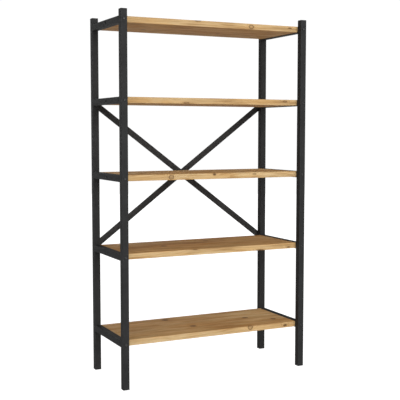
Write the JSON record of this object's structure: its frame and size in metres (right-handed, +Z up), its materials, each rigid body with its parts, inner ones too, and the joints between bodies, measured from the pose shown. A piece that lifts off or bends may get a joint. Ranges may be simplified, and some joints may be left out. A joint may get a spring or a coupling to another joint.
{
  "type": "bookcase with adjustable shelves",
  "caption": "Tall open bookcase: square-tube steel posts and side rails, wooden board shelves bolted at set levels, crossed flat bars behind the middle shelves",
  "frame": {"origin": "on the floor, in the middle of the whole object's outline seen from above", "axes": "+Z up; -Y is the open front, where things are put in; +X is to the right of a person facing the front; the crossed bars are on the +Y side"},
  "size_m": [0.9622, 0.4214, 1.7],
  "materials": {
    "powder_coat": "satin charcoal powder coat with a fine grain",
    "wood": "matt clear finish on knotty light softwood, lighter on the front edges",
    "plastic": "matt moulded plastic, near black",
    "black_steel": "black fastener heads, a little shinier than the frame"
  },
  "bodies": {
    "root": {"brace_rivet": "black_steel", "falling_brace_bar": "powder_coat", "front_left_cap": "plastic", "front_left_foot": "plastic", "front_left_post": "powder_coat", "front_left_rail_bolt_1": "black_steel", "front_left_rail_bolt_2": "black_steel", "front_left_rail_bolt_3": "black_steel", "front_left_rail_bolt_4": "black_steel", "front_left_rail_bolt_5": "black_steel", "front_right_cap": "plastic", "front_right_foot": "plastic", "front_right_post": "powder_coat", "front_right_rail_bolt_1": "black_steel", "front_right_rail_bolt_2": "black_steel", "front_right_rail_bolt_3": "black_steel", "front_right_rail_bolt_4": "black_steel", "front_right_rail_bolt_5": "black_steel", "left_board_screw_1": "black_steel", "left_board_screw_2": "black_steel", "left_board_screw_3": "black_steel", "left_board_screw_4": "black_steel", "left_board_screw_5": "black_steel", "left_side_rail_1": "powder_coat", "left_side_rail_2": "powder_coat", "left_side_rail_3": "powder_coat", "left_side_rail_4": "powder_coat", "left_side_rail_5": "powder_coat", "rear_left_cap": "plastic", "rear_left_foot": "plastic", "rear_left_post": "powder_coat", "rear_left_rail_bolt_1": "black_steel", "rear_left_rail_bolt_2": "black_steel", "rear_left_rail_bolt_3": "black_steel", "rear_left_rail_bolt_4": "black_steel", "rear_left_rail_bolt_5": "black_steel", "rear_right_cap": "plastic", "rear_right_foot": "plastic", "rear_right_post": "powder_coat", "rear_right_rail_bolt_1": "black_steel", "rear_right_rail_bolt_2": "black_steel", "rear_right_rail_bolt_3": "black_steel", "rear_right_rail_bolt_4": "black_steel", "rear_right_rail_bolt_5": "black_steel", "right_board_screw_1": "black_steel", "right_board_screw_2": "black_steel", "right_board_screw_3": "black_steel", "right_board_screw_4": "black_steel", "right_board_screw_5": "black_steel", "right_side_rail_1": "powder_coat", "right_side_rail_2": "powder_coat", "right_side_rail_3": "powder_coat", "right_side_rail_4": "powder_coat", "right_side_rail_5": "powder_coat", "rising_brace_bar": "powder_coat", "shelf_board_1": "wood", "shelf_board_2": "wood", "shelf_board_3": "wood", "shelf_board_4": "wood", "shelf_board_5": "wood"}
  },
  "joints": []
}
